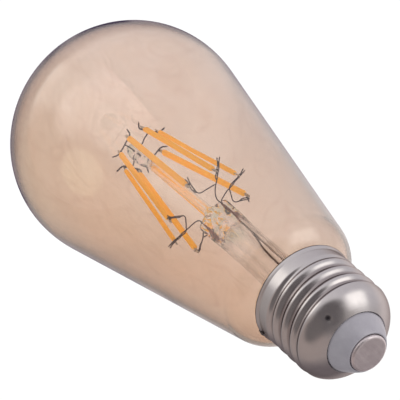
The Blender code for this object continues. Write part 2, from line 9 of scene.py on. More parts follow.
import bmesh
import bpy
from mathutils import Matrix, Vector, noise
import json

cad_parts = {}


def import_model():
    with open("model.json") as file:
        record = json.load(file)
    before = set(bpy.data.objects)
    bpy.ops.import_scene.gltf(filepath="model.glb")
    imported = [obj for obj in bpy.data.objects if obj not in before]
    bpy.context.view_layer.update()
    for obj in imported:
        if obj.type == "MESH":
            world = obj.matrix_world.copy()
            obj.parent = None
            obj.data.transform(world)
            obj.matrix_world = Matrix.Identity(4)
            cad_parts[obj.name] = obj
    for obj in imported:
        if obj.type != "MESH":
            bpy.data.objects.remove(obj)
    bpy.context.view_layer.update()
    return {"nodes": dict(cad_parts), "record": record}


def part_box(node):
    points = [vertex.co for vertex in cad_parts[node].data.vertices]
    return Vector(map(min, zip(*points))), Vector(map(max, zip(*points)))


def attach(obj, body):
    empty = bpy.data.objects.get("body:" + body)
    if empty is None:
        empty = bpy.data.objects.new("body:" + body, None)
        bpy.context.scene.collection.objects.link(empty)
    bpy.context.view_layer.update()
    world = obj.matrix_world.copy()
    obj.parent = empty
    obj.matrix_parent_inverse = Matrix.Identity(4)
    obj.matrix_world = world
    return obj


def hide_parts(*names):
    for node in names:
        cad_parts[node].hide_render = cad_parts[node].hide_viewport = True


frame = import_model()

# noise.noise_vector starts from the clock without this, and the wires' bends would change from run to run.
noise.seed_set(3)

MM = 0.001

# Driving sizes, as in the CAD.
GLASS_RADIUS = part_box("glass_envelope")[1].x
DOME_LENGTH = 30.1 * MM
DOME_CENTRE_DEPTH = 108 * MM
CONE_HALF_ANGLE = math.radians(11.25)
SHOULDER_RADIUS = 9.2 * MM
SHOULDER_CENTRE = (8.98 * MM, 36.29 * MM)
NECK_RADIUS = 10.9 * MM
NECK_FILLET = 1.5 * MM
NECK_END_DEPTH = 20.8 * MM
GLASS_WALL = 0.9 * MM

CREST_RADIUS = 13.13 * MM
THREAD_HEIGHT = 1.0 * MM
THREAD_PITCH = 25.4 / 7 * MM
FIRST_CREST_DEPTH = 1.9 * MM
THREAD_FADES = ((10.0 * MM, 12.4 * MM), (21.6 * MM, 23.6 * MM))
SHELL_START_DEPTH = 5.5 * MM
SHELL_DOME_DEPTH = 12.4 * MM
SHELL_MOUTH_RADIUS = 8.2 * MM
SHELL_DOME_POWER = 2.3
LIP_START_DEPTH = 26.0 * MM
LIP_END_DEPTH = 27.7 * MM
LIP_RADIUS = 13.54 * MM
SHELL_WALL = 0.3 * MM
CONTACT_RADIUS = 4.8 * MM
CONTACT_THICKNESS = 1.75 * MM

STEM_RADIUS = 4.7 * MM
STEM_WALL = 0.9 * MM
PRESS_START_DEPTH = 55 * MM
PRESS_DEPTH = 67.6 * MM
PRESS_HALF_WIDTH = 4.9 * MM
PRESS_HALF_THICKNESS = 1.9 * MM
CAVITY_DEPTH = 58.2 * MM
EXHAUST_RADIUS = 2.0 * MM
EXHAUST_WALL = 0.6 * MM
EXHAUST_TIP_DEPTH = 16.4 * MM
ROD_RADIUS = 1.3 * MM
ROD_END_DEPTH = 106.5 * MM
BUTTON_RADIUS = 2.0 * MM
ROD_LEAN = math.radians(2)

# The ends of a filament as (radius, depth), and how far each one leans off its even place, in degrees.
FILAMENTS = 8
FILAMENT_TOP = (6.6 * MM, 102 * MM)
FILAMENT_BOTTOM = (11.3 * MM, 70 * MM)
FILAMENT_HALF_WIDTH = 0.85 * MM
FILAMENT_HALF_THICKNESS = 0.65 * MM
TAB_HALF_WIDTH = 0.4 * MM
TAB_HALF_THICKNESS = 0.22 * MM
WELD_OFFSET = 1.0 * MM
TOP_LEAN = (2, -2, -12, -14, 0, 0, -2, -5)
BOTTOM_LEAN = (-7, -12, -5, 10, 5, -2, -5, 0)

# The strands of the arms are a little thinner than the CAD's single wire. A pair is two filaments that one
# wire joins, and an arm's tip is at an azimuth in degrees and a depth.
WIRE_RADIUS = 0.2 * MM
STRAND_RADIUS = 0.16 * MM
WIRE_GAP = 0.3 * MM
TOP_PAIRS = ((6, 7), (0, 1), (2, 3), (4, 5))
BOTTOM_PAIRS = ((5, 6), (0, 7), (1, 2), (4, 3))
ARM_TIP_RADIUS = 13.6 * MM
ARM_TIP_AZIMUTHS = (350, 44, 75, 129, 181, 211, 259, 304)
ARM_TIP_DEPTHS = tuple(depth * MM for depth in (69, 72.3, 67.8, 71, 69, 72, 69.3, 67.6))
ARM_ELBOW_RADIUS = 7.0 * MM
BOTTOM_ROOT = (3.4 * MM, 0.9 * MM)
BEHIND_THE_STEM = (1, 4)
FREE_END = 2.3 * MM
LEAD_RADIUS = 0.25 * MM
LEAD_RING = 3.2 * MM
# The points that a lead runs through: radius, azimuth in degrees, depth.
LEADS = {
    "lead_live": (
        (LEAD_RING, 187, 57.3 * MM),
        (LEAD_RING, 188, 53.5 * MM),
        (LEAD_RING, 235, 43.5 * MM),
        (LEAD_RING, 238, 33.0 * MM),
        (5.2 * MM, 230, 22.5 * MM),
        (5.6 * MM, 225, 14.5 * MM),
    ),
    "lead_neutral": (
        (LEAD_RING, 173, 57.3 * MM),
        (LEAD_RING, 172, 50.0 * MM),
        (LEAD_RING, 172, 33.0 * MM),
        (5.2 * MM, 172, 22.5 * MM),
        (5.8 * MM, 172, 14.5 * MM),
    ),
}

# The dent that a punch leaves where the cap is staked, and the line pressed round the cap at each end.
DIMPLE_AZIMUTH = math.radians(271)
DIMPLE_DEPTH = 7.4 * MM
DIMPLE_HALF_SIZE = (0.62 * MM, 0.9 * MM)
DIMPLE_SINK = 0.4 * MM
LINE_DEPTHS = (12.9 * MM, 26.35 * MM)
LINE_HALF_WIDTH = 0.16 * MM
LINE_SINK = 0.07 * MM
# How far from its cut edge the lip is rounded.
LIP_ROLL = 0.6 * MM

# The insulator's sloping face ends at this (radius, depth), in the mouth of the shell.
INSULATOR_EDGE = (7.84 * MM, 5.4 * MM)
INSULATOR_SEAT = 9.0 * MM
INSULATOR_BULGE = 0.14 * MM

# Steps round a large and a small turned piece.
ROUND = 144
FINE = 48
UP = Vector((0, 0, 1))


# ---------------------------------------------------------------- mesh helpers


def polar(radius, azimuth, depth):
    return Vector((radius * math.cos(azimuth), radius * math.sin(azimuth), -depth))


def arc(centre, radius, start, end, steps, length=None):
    """(radius, depth) points on an arc; 0 degrees points away from the axis and 90 degrees to the dome.

    With a length, the arc is part of an oval that reaches that far along the axis.
    """
    along = length or radius
    turns = [start + (end - start) * i / steps for i in range(steps + 1)]
    return [(centre[0] + radius * math.cos(t), centre[1] + along * math.sin(t)) for t in turns]


def fade(value, start, end):
    share = min(max((value - start) / (end - start), 0), 1)
    return share * share * (3 - 2 * share)


def smooth_curve(points, steps):
    """Points on a smooth curve through the given points, each a tuple or a vector."""
    rows = [tuple(p) for p in points]
    rows = [rows[0], *rows, rows[-1]]
    out = []
    for a, b, c, d in zip(rows, rows[1:], rows[2:], rows[3:]):
        for i in range(steps):
            t = i / steps
            weights = (
                -t / 2 + t * t - t**3 / 2,
                1 - 2.5 * t * t + 1.5 * t**3,
                t / 2 + 2 * t * t - 1.5 * t**3,
                (t**3 - t * t) / 2,
            )
            out.append(tuple(sum(w * v for w, v in zip(weights, vs)) for vs in zip(a, b, c, d)))
    out.append(rows[-1])
    return out


def rounded_path(points, bend, steps=6):
    """The path with each corner replaced by a short curve."""
    path = [points[0]]
    for before, corner, after in zip(points, points[1:], points[2:]):
        reach_in = min(bend, (corner - before).length * 0.45)
        reach_out = min(bend, (after - corner).length * 0.45)
        start = corner + (before - corner).normalized() * reach_in
        end = corner + (after - corner).normalized() * reach_out
        for i in range(steps + 1):
            share = i / steps
            path.append(start.lerp(corner, share).lerp(corner.lerp(end, share), share))
    path.append(points[-1])
    return path


def subdivide(path, longest):
    out = [path[0]]
    for a, b in zip(path, path[1:]):
        count = max(1, math.ceil((b - a).length / longest))
        out += [a.lerp(b, (i + 1) / count) for i in range(count)]
    return out


def skin(mesh_bm, loops, closed=False):
    """Joins neighbouring loops of vertices with faces; a loop of one vertex is a pole."""
    pairs = list(zip(loops, loops[1:]))
    if closed:
        pairs.append((loops[-1], loops[0]))
    for lower, upper in pairs:
        count = max(len(lower), len(upper))
        for i in range(count):
            j = (i + 1) % count
            if len(lower) == 1:
                mesh_bm.faces.new((lower[0], upper[j], upper[i]))
            elif len(upper) == 1:
                mesh_bm.faces.new((lower[i], lower[j], upper[0]))
            else:
                mesh_bm.faces.new((lower[i], lower[j], upper[j], upper[i]))


def make_piece(name, mesh_bm, look, smooth_angle=50):
    bmesh.ops.recalc_face_normals(mesh_bm, faces=mesh_bm.faces)
    mesh = bpy.data.meshes.new(name)
    mesh_bm.to_mesh(mesh)
    mesh_bm.free()
    mesh.materials.append(look)
    mesh.shade_smooth()
    mesh.set_sharp_from_angle(angle=math.radians(smooth_angle))
    made = bpy.data.objects.new(name, mesh)
    bpy.context.scene.collection.objects.link(made)
    return made


def place(piece, slot, *nodes):
    """Rides the one body and stands for the named CAD nodes; slot is not used."""
    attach(piece, "root")
    if nodes:
        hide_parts(*nodes)
    return piece


def ring_solid(name, rings, look, steps=ROUND, closed=False, smooth_angle=50):
    """A solid from oval rings (half width along X, half width along Y, centre x, depth)."""
    mesh_bm = bmesh.new()
    turns = [2 * math.pi * i / steps for i in range(steps)]
    loops = []
    for half_x, half_y, centre, depth in rings:
        if half_x < 1e-7:
            loops.append([mesh_bm.verts.new((centre, 0, -depth))])
            continue
        ring = [(centre + half_x * math.cos(t), half_y * math.sin(t), -depth) for t in turns]
        loops.append([mesh_bm.verts.new(point) for point in ring])
    skin(mesh_bm, loops, closed)
    return make_piece(name, mesh_bm, look, smooth_angle)


def lathe(name, outline, look, steps=ROUND, closed=False, smooth_angle=50):
    """A solid turned about the axis from (radius, depth) points."""
    rings = [(radius, radius, 0, depth) for radius, depth in outline]
    return ring_solid(name, rings, look, steps, closed, smooth_angle)


def tube_into(mesh_bm, path, radius, sides=12, squeeze=None):
    """Adds a round wire with rounded ends; squeeze(share) flattens it, as pliers and welds do."""
    side = (path[1] - path[0]).orthogonal().normalized()
    loops = [[mesh_bm.verts.new(path[0])]]
    total = len(path) - 1
    for i, point in enumerate(path):
        ahead = path[min(i + 1, total)] - path[max(i - 1, 0)]
        ahead.normalize()
        side = (side - ahead * side.dot(ahead)).normalized()
        up = ahead.cross(side)
        wide, thin = squeeze(i / total) if squeeze else (1, 1)
        ends = 0.6 if i in (0, total) else 1
        ring = []
        for j in range(sides):
            turn = 2 * math.pi * j / sides
            offset = side * math.cos(turn) * wide + up * math.sin(turn) * thin
            ring.append(mesh_bm.verts.new(point + offset * radius * ends))
        loops.append(ring)
    loops.append([mesh_bm.verts.new(path[-1])])
    skin(mesh_bm, loops)


def blob_into(mesh_bm, centre, size, seed):
    """Adds a lumpy drop of melted metal."""
    made = bmesh.ops.create_icosphere(mesh_bm, subdivisions=3, radius=1)
    for vert in made["verts"]:
        lump = 1 + 0.22 * noise.noise(vert.co * 1.7 + Vector((seed, seed * 2, 0)))
        vert.co = centre + Vector(tuple(v * s * lump for v, s in zip(vert.co, size)))


def fuse(piece, voxel):
    """Melts the overlapping shapes of a piece into one closed skin."""
    remesh = piece.modifiers.new("Fuse", "REMESH")
    remesh.mode = "VOXEL"
    remesh.voxel_size = voxel
    remesh.use_smooth_shade = True
    smooth = piece.modifiers.new("Smooth", "SMOOTH")
    smooth.factor = 0.5
    smooth.iterations = 3
    bpy.context.view_layer.update()
    evaluated = piece.evaluated_get(bpy.context.evaluated_depsgraph_get())
    mesh = bpy.data.meshes.new_from_object(evaluated)
    old = piece.data
    look = old.materials[0]
    piece.modifiers.clear()
    piece.data = mesh
    mesh.materials.clear()
    mesh.materials.append(look)
    mesh.shade_smooth()
    bpy.data.meshes.remove(old)
    return piece


def wobble(path, size, scale, seed):
    """The path with the small bends of a wire set by hand; its ends stay where they are."""
    out = []
    total = len(path) - 1
    for i, point in enumerate(path):
        away = noise.noise_vector(point / scale + Vector((seed, 0, 0))) * size
        out.append(point + away * math.sin(math.pi * i / total))
    return out


def shell_radius(depth, azimuth):
    """Outer radius of the cap shell: dome, rolled thread, collar, lip, pressed lines and the staking dent."""
    crest = CREST_RADIUS
    if depth < SHELL_DOME_DEPTH:
        share = (SHELL_DOME_DEPTH - depth) / (SHELL_DOME_DEPTH - SHELL_START_DEPTH)
        crest -= (CREST_RADIUS - SHELL_MOUTH_RADIUS) * share**SHELL_DOME_POWER
    crest += (LIP_RADIUS - CREST_RADIUS) * fade(depth, LIP_START_DEPTH, LIP_END_DEPTH)
    rolled = max(0, (depth - LIP_END_DEPTH + LIP_ROLL) / LIP_ROLL)
    crest -= 0.8 * LIP_ROLL * (1 - math.sqrt(max(0, 1 - rolled**2)))
    (rise_start, rise_end), (fall_start, fall_end) = THREAD_FADES
    cut = fade(depth, rise_start, rise_end) * (1 - fade(depth, fall_start, fall_end))
    turn = 2 * math.pi * (depth - FIRST_CREST_DEPTH) / THREAD_PITCH + azimuth
    radius = crest - THREAD_HEIGHT * cut * (1 - math.cos(turn)) / 2
    for line in LINE_DEPTHS:
        radius -= LINE_SINK * math.exp(-(((depth - line) / LINE_HALF_WIDTH) ** 2))
    swing = math.remainder(azimuth - DIMPLE_AZIMUTH, 2 * math.pi) * radius / DIMPLE_HALF_SIZE[0]
    drop = (depth - DIMPLE_DEPTH) / DIMPLE_HALF_SIZE[1]
    return radius - DIMPLE_SINK * math.exp(-((swing * swing + drop * drop) ** 2))


# ---------------------------------------------------------------- material helpers


def new_material(name, **sockets):
    made = bpy.data.materials.new(name)
    made.use_nodes = True
    set_sockets(made, **sockets)
    return made


def shader_of(look):
    return look.node_tree.nodes["Principled BSDF"]


def set_sockets(look, **sockets):
    shader = shader_of(look)
    for key, value in sockets.items():
        socket = shader.inputs[key.replace("_", " ")]
        if socket.type == "RGBA":
            value = (*value, 1)
        socket.default_value = value


def add_node(look, kind, **settings):
    node = look.node_tree.nodes.new(kind)
    for key, value in settings.items():
        setattr(node, key, value)
    return node


def link(look, source, target):
    look.node_tree.links.new(source, target)


def maths(look, operation, *values):
    """A Math node fed by sockets or numbers."""
    node = add_node(look, "ShaderNodeMath", operation=operation)
    for socket, value in zip(node.inputs, values):
        if isinstance(value, (int, float)):
            socket.default_value = value
        else:
            link(look, value, socket)
    return node.outputs["Value"]


def surface_point(look, stretch=(1, 1, 1)):
    coordinates = add_node(look, "ShaderNodeTexCoord")
    mapping = add_node(look, "ShaderNodeMapping")
    mapping.inputs["Scale"].default_value = stretch
    link(look, coordinates.outputs["Object"], mapping.inputs["Vector"])
    return mapping.outputs["Vector"]


def axis_of(look, name):
    """The X, Y or Z of the surface point, in metres."""
    split = add_node(look, "ShaderNodeSeparateXYZ")
    link(look, surface_point(look), split.inputs["Vector"])
    return split.outputs[name]


def axis_distance(look):
    """The surface point's distance from the bulb's axis, in metres."""
    length = add_node(look, "ShaderNodeVectorMath", operation="LENGTH")
    link(look, surface_point(look, (1, 1, 0)), length.inputs[0])
    return length.outputs["Value"]


def noise_of(look, scale, detail=4.0, stretch=(1, 1, 1), swirl=0.0):
    """Noise over the piece; scale is in features per metre, and swirl stirs it."""
    texture = add_node(look, "ShaderNodeTexNoise")
    texture.inputs["Scale"].default_value = scale
    texture.inputs["Detail"].default_value = detail
    texture.inputs["Roughness"].default_value = 0.55
    texture.inputs["Distortion"].default_value = swirl
    link(look, surface_point(look, stretch), texture.inputs["Vector"])
    return texture.outputs["Fac"]


def turned_lines(look, scale, detail=3.0):
    """Noise that only changes with the distance from the axis and along it, as lathe marks do."""
    total = maths(look, "ADD", axis_distance(look), axis_of(look, "Z"))
    texture = add_node(look, "ShaderNodeTexNoise", noise_dimensions="1D")
    texture.inputs["Scale"].default_value = scale
    texture.inputs["Detail"].default_value = detail
    link(look, total, texture.inputs["W"])
    return texture.outputs["Fac"]


def ramp(look, factor, *stops):
    """A colour ramp of (place, colour) stops."""
    node = add_node(look, "ShaderNodeValToRGB")
    elements = node.color_ramp.elements
    while len(elements) < len(stops):
        elements.new(0.5)
    for element, (at, colour) in zip(elements, stops):
        element.position = at
        element.color = (*colour, 1)
    link(look, factor, node.inputs["Fac"])
    return node.outputs["Color"]


def spread(look, factor, low, high, out_low=0, out_high=1):
    """Maps low..high smoothly to out_low..out_high, and holds those beyond."""
    node = add_node(look, "ShaderNodeMapRange", interpolation_type="SMOOTHSTEP")
    for name, value in (("From Min", low), ("From Max", high), ("To Min", out_low), ("To Max", out_high)):
        node.inputs[name].default_value = value
    link(look, factor, node.inputs["Value"])
    return node.outputs["Result"]


def colour_from(look, colour):
    link(look, colour, shader_of(look).inputs["Base Color"])


def mottle(look, texture, dark, light):
    """Colours the surface from dark to light by a texture."""
    colour_from(look, ramp(look, texture, (0.3, dark), (0.7, light)))


def mix_colours(look, factor, first, second, blend="MIX"):
    """Goes from first to second, or multiplies first by second, as factor goes from 0 to 1."""
    node = add_node(look, "ShaderNodeMix", data_type="RGBA", blend_type=blend)
    link(look, factor, node.inputs["Factor"])
    for socket, colour in zip((node.inputs[6], node.inputs[7]), (first, second)):
        if isinstance(colour, tuple):
            socket.default_value = (*colour, 1)
        else:
            link(look, colour, socket)
    return node.outputs[2]


def roughness_from(look, factor, low, high):
    link(look, spread(look, factor, 0.3, 0.7, low, high), shader_of(look).inputs["Roughness"])


def bump_from(look, height, distance, strength=1.0):
    """Relief; each call stacks on the one before."""
    node = add_node(look, "ShaderNodeBump")
    node.inputs["Distance"].default_value = distance
    node.inputs["Strength"].default_value = strength
    link(look, height, node.inputs["Height"])
    normal = shader_of(look).inputs["Normal"]
    if normal.is_linked:
        link(look, normal.links[0].from_socket, node.inputs["Normal"])
    link(look, node.outputs["Normal"], normal)


# ---------------------------------------------------------------- materials


def amber_glass():
    """Coated glass: it mirrors more than bare glass does, and has a painted violet shade where it is seen
    edge on, in place of the dark room that its rim would reflect.
    """
    look = new_material("amber_glass", Transmission_Weight=1.0, IOR=1.7, Roughness=0.0)
    depth = spread(look, axis_of(look, "Z"), -0.138, -0.02, 0, 1)
    stops = ((0.0, (0.90, 0.79, 0.725)), (0.5, (0.895, 0.76, 0.68)), (1.0, (0.88, 0.772, 0.70)))
    tint = ramp(look, depth, *stops)
    one_side = spread(look, axis_of(look, "X"), -0.018, 0.026, 0, 1)
    warmth = ramp(look, depth, (0.0, (0.885, 0.86, 0.80)), (0.45, (0.96, 0.88, 0.80)))
    tint = mix_colours(look, one_side, tint, warmth, "MULTIPLY")
    flow = spread(look, noise_of(look, 38, 4.0, (1, 1, 0.6), 2.4), 0.35, 0.65, 0, 1)
    tint = mix_colours(look, flow, tint, (0.985, 0.97, 0.955), "MULTIPLY")
    cord = noise_of(look, 30, 1.5, (1, 1, 0.5), 3.0)
    rise = spread(look, cord, 0.470, 0.490, 0, 1)
    fall = spread(look, cord, 0.490, 0.510, 1, 0)
    tint = mix_colours(look, maths(look, "MULTIPLY", rise, fall), tint, (0.965, 0.945, 0.94), "MULTIPLY")
    # Painted shade: the base colour darkens to violet where the glass is seen edge on, standing for a dark
    # reflection at the rim.
    facing = add_node(look, "ShaderNodeLayerWeight")
    facing.inputs["Blend"].default_value = 0.5
    rim_painted_shade = spread(look, facing.outputs["Facing"], 0.72, 0.98, 0, 1)
    colour_from(look, mix_colours(look, rim_painted_shade, tint, (0.92, 0.87, 0.92), "MULTIPLY"))
    bump_from(look, noise_of(look, 60, 0.0, (1, 1, 0.5), 0.8), 0.3 * MM, 0.25)
    return look


def stem_glass():
    """Nearly clear glass, greenish and rippled in the thick press and in the rod's button."""
    look = new_material("stem_glass", Transmission_Weight=1.0, IOR=1.16, Roughness=0.0)
    tube = ramp(look, noise_of(look, 120), (0.3, (0.98, 0.99, 0.99)), (0.7, (1.0, 1.0, 1.0)))
    press = ramp(look, noise_of(look, 260), (0.44, (0.96, 0.92, 0.96)), (0.60, (0.62, 0.78, 0.70)))
    start = spread(look, axis_of(look, "Z"), -0.054, -0.061, 0, 1)
    end = spread(look, axis_of(look, "Z"), -0.067, -0.072, 1, 0)
    button = spread(look, axis_of(look, "Z"), -0.0965, -0.0985, 0, 1)
    melted = maths(look, "MULTIPLY_ADD", start, end, button)
    colour_from(look, mix_colours(look, melted, tube, press))
    link(look, spread(look, melted, 0, 1, 0.3, 0.95), shader_of(look).inputs["Alpha"])
    bump_from(look, noise_of(look, 420, 2.0, (1, 1, 0.3)), 0.15 * MM, 0.3)
    ripple = maths(look, "MULTIPLY", noise_of(look, 320, 1.0, (1, 1, 0.7), 0.8), melted)
    bump_from(look, ripple, 2.2 * MM, 1.0)
    return look


def nickel_plate():
    """Nickel on brass, with painted shade in the thread's roots and in the dent where a punch staked the
    shell, and a painted dark reflection along the lip's cut edge.
    """
    look = new_material("nickel_plate", Metallic=1.0, Roughness=0.2)
    set_sockets(look, Specular_Tint=(0.45, 0.42, 0.42))
    tone = ramp(look, noise_of(look, 160), (0.3, (0.60, 0.565, 0.56)), (0.7, (0.66, 0.625, 0.615)))
    # Painted shade: the dent of the staking punch is coloured dark.
    away = add_node(look, "ShaderNodeVectorMath", operation="DISTANCE")
    link(look, surface_point(look), away.inputs[0])
    away.inputs[1].default_value = polar(shell_radius(DIMPLE_DEPTH, 0), DIMPLE_AZIMUTH, DIMPLE_DEPTH)
    dimple_painted_shade = spread(look, away.outputs["Value"], 0.3 * MM, 1.0 * MM, 1, 0)
    tone = mix_colours(look, dimple_painted_shade, tone, (0.10, 0.09, 0.10))
    # Painted reflection: a dark line along the rolled lip's cut edge.
    lip_painted_reflection = spread(look, axis_of(look, "Z"), -LIP_END_DEPTH + 0.6 * MM, -LIP_END_DEPTH + 0.4 * MM, 0, 1)
    tone = mix_colours(look, lip_painted_reflection, tone, (0.17, 0.145, 0.14))
    # Painted shade: the thread's roots are coloured darker than its crests.
    root = spread(look, axis_distance(look), CREST_RADIUS - THREAD_HEIGHT, CREST_RADIUS - 0.55 * MM, 1, 0)
    threaded = spread(look, axis_of(look, "Z"), -0.0105, -0.0125, 0, 1)
    root_painted_shade = maths(look, "MULTIPLY", root, threaded)
    colour_from(look, mix_colours(look, root_painted_shade, tone, (0.62, 0.58, 0.58), "MULTIPLY"))
    roughness_from(look, noise_of(look, 500, 3.0), 0.17, 0.25)
    bump_from(look, turned_lines(look, 9000), 0.01 * MM, 0.35)
    bump_from(look, noise_of(look, 1800, 3.0), 0.01 * MM, 0.3)
    return look


def contact_metal():
    look = new_material("contact_metal", Metallic=1.0, Roughness=0.4)
    mottle(look, noise_of(look, 900, 5.0, (1, 0.12, 1)), (0.74, 0.67, 0.68), (0.86, 0.79, 0.79))
    roughness_from(look, noise_of(look, 700, 4.0), 0.34, 0.5)
    bump_from(look, noise_of(look, 5000, 4.0, (1, 0.1, 1)), 0.02 * MM, 0.5)
    return look


def grey_insulator():
    look = new_material("grey_insulator", Roughness=0.4, Coat_Weight=0.2, Coat_Roughness=0.25)
    mottle(look, noise_of(look, 350, 6.0), (0.25, 0.235, 0.265), (0.29, 0.275, 0.305))
    roughness_from(look, noise_of(look, 900), 0.35, 0.5)
    bump_from(look, noise_of(look, 1500, 3.0), 0.03 * MM, 0.3)
    return look


def cap_cement():
    look = new_material("cap_cement", Roughness=0.9)
    mottle(look, noise_of(look, 900, 8.0), (0.62, 0.55, 0.43), (0.80, 0.74, 0.62))
    bump_from(look, noise_of(look, 1400, 8.0), 0.2 * MM, 0.8)
    return look


def phosphor():
    look = new_material("phosphor", Roughness=0.45, Subsurface_Weight=0.35, Subsurface_Scale=0.6 * MM)
    # Painted glow: the orange emission makes the strips glow although the bulb is not lit.
    set_sockets(look, Subsurface_Radius=(1.0, 0.55, 0.12), Emission_Strength=0.5)
    set_sockets(look, Emission_Color=(1.0, 0.47, 0.02))
    mottle(look, noise_of(look, 420, 5.0), (1.0, 0.54, 0.05), (1.0, 0.64, 0.11))
    roughness_from(look, noise_of(look, 900), 0.38, 0.6)
    bump_from(look, noise_of(look, 1500, 3.0), 0.08 * MM, 0.5)
    return look


def wire_metal(name, dark, light, low=0.3, high=0.5):
    look = new_material(name, Metallic=1.0)
    colour_from(look, ramp(look, noise_of(look, 900, 6.0), (0.35, dark), (0.65, light)))
    roughness_from(look, noise_of(look, 1500), low, high)
    bump_from(look, noise_of(look, 6000, 3.0, (1, 1, 0.4)), 0.03 * MM, 0.5)
    return look


def circuit_board():
    look = new_material("circuit_board", Roughness=0.4, Coat_Weight=0.3, Coat_Roughness=0.2)
    cells = add_node(look, "ShaderNodeTexVoronoi", feature="DISTANCE_TO_EDGE", distance="CHEBYCHEV")
    cells.inputs["Scale"].default_value = 420
    link(look, surface_point(look), cells.inputs["Vector"])
    traces = spread(look, cells.outputs["Distance"], 0.06, 0.10, 1, 0)
    colour_from(look, ramp(look, traces, (0.0, (0.015, 0.12, 0.05)), (1.0, (0.05, 0.26, 0.11))))
    bump_from(look, traces, 0.04 * MM, 0.6)
    return look


def moulded(name, dark, light, low=0.4, high=0.6, grain=2500, relief=0.03):
    """Plastic, rubber, lacquer or ceramic with a fine grain."""
    look = new_material(name)
    mottle(look, noise_of(look, grain / 4, 6.0), dark, light)
    roughness_from(look, noise_of(look, grain / 2), low, high)
    bump_from(look, noise_of(look, grain, 4.0), relief * MM, 0.6)
    return look


def enamelled_copper():
    look = wire_metal("enamelled_copper", (0.42, 0.14, 0.05), (0.62, 0.27, 0.12), 0.25, 0.4)
    turns = add_node(look, "ShaderNodeTexWave", wave_type="BANDS", bands_direction="Z", wave_profile="SIN")
    turns.inputs["Scale"].default_value = 1400
    turns.inputs["Distortion"].default_value = 0.6
    link(look, surface_point(look), turns.inputs["Vector"])
    bump_from(look, turns.outputs["Fac"], 0.12 * MM, 0.9)
    return look


def resistor_body():
    look = moulded("resistor_body", (0.12, 0.26, 0.42), (0.17, 0.33, 0.50))
    bands = add_node(look, "ShaderNodeTexWave", wave_type="BANDS", bands_direction="X", wave_profile="SIN")
    bands.inputs["Scale"].default_value = 260
    link(look, surface_point(look), bands.inputs["Vector"])
    shade = ramp(look, bands.outputs["Fac"], (0.80, (0.15, 0.30, 0.46)), (0.86, (0.16, 0.05, 0.03)))
    colour_from(look, shade)
    return look


LOOKS = {
    "amber_glass": amber_glass(),
    "clear_glass": stem_glass(),
    "nickel_plate": nickel_plate(),
    "contact_metal": contact_metal(),
    "grey_insulator": grey_insulator(),
    "cap_cement": cap_cement(),
    "phosphor": phosphor(),
    "support_wire": wire_metal("support_wire", (0.08, 0.055, 0.055), (0.22, 0.16, 0.155)),
    # Painted glint: the bare metal tabs are a bright matt cream that stands for the light their metal
    # catches.
    "filament_tab": moulded("filament_tab", (0.78, 0.74, 0.64), (0.93, 0.89, 0.80), 0.3, 0.5),
    "lead_wire": wire_metal("lead_wire", (0.20, 0.14, 0.12), (0.38, 0.29, 0.24)),
    "dumet": wire_metal("dumet", (0.46, 0.20, 0.18), (0.62, 0.33, 0.29), 0.25, 0.4),
    "circuit_board": circuit_board(),
    "black_package": moulded("black_package", (0.015, 0.015, 0.017), (0.04, 0.04, 0.045)),
    "capacitor_sleeve": moulded("capacitor_sleeve", (0.02, 0.03, 0.09), (0.04, 0.05, 0.14), 0.25, 0.4, 1500),
    "tinned_steel": wire_metal("tinned_steel", (0.58, 0.58, 0.59), (0.74, 0.74, 0.75), 0.22, 0.38),
    "ferrite": moulded("ferrite", (0.05, 0.045, 0.045), (0.10, 0.09, 0.09), 0.6, 0.85, 3500, 0.06),
    "enamelled_copper": enamelled_copper(),
    "resistor_body": resistor_body(),
    "red_insulation": moulded("red_insulation", (0.40, 0.03, 0.025), (0.55, 0.06, 0.05), 0.35, 0.5),
    "solder": wire_metal("solder", (0.12, 0.11, 0.11), (0.30, 0.28, 0.27), 0.25, 0.5),
}


# ---------------------------------------------------------------- glass envelope


def glass_surface(inset):
    """(radius, depth) from the dome's tip to the neck's end, lying inset inside the outer surface."""
    reach = SHOULDER_RADIUS + NECK_FILLET
    fillet_radius = NECK_RADIUS + NECK_FILLET
    across = fillet_radius - SHOULDER_CENTRE[0]
    along = math.sqrt(reach**2 - across**2)
    fillet_centre = (fillet_radius, SHOULDER_CENTRE[1] - along)
    turn = math.atan2(along, across)
    centre = (0, DOME_CENTRE_DEPTH)
    dome = arc(centre, GLASS_RADIUS - inset, math.pi / 2, 0, 44, DOME_LENGTH - inset)
    tangent = arc(centre, GLASS_RADIUS - inset, 0, -CONE_HALF_ANGLE, 6)[1:]
    shoulder = arc(SHOULDER_CENTRE, SHOULDER_RADIUS - inset, -CONE_HALF_ANGLE, -turn, 16)
    cone_start = tangent[-1]
    cone_end = shoulder[0]
    cone = [tuple(a + (b - a) * i / 24 for a, b in zip(cone_start, cone_end)) for i in range(1, 24)]
    fillet = arc(fillet_centre, NECK_FILLET + inset, math.pi - turn, math.pi, 8)[1:]
    return dome + tangent + cone + shoulder + fillet + [(NECK_RADIUS - inset, NECK_END_DEPTH)]


def glass_envelope():
    """The blown glass, as one closed skin whose outer and inner surfaces both end on the axis."""
    outer = glass_surface(0)
    inner = glass_surface(GLASS_WALL)[::-1]
    outer[0] = (0, outer[0][1])
    inner[-1] = (0, inner[-1][1])
    return lathe("glass_envelope_skin", outer + inner, LOOKS["amber_glass"])


# ---------------------------------------------------------------- cap


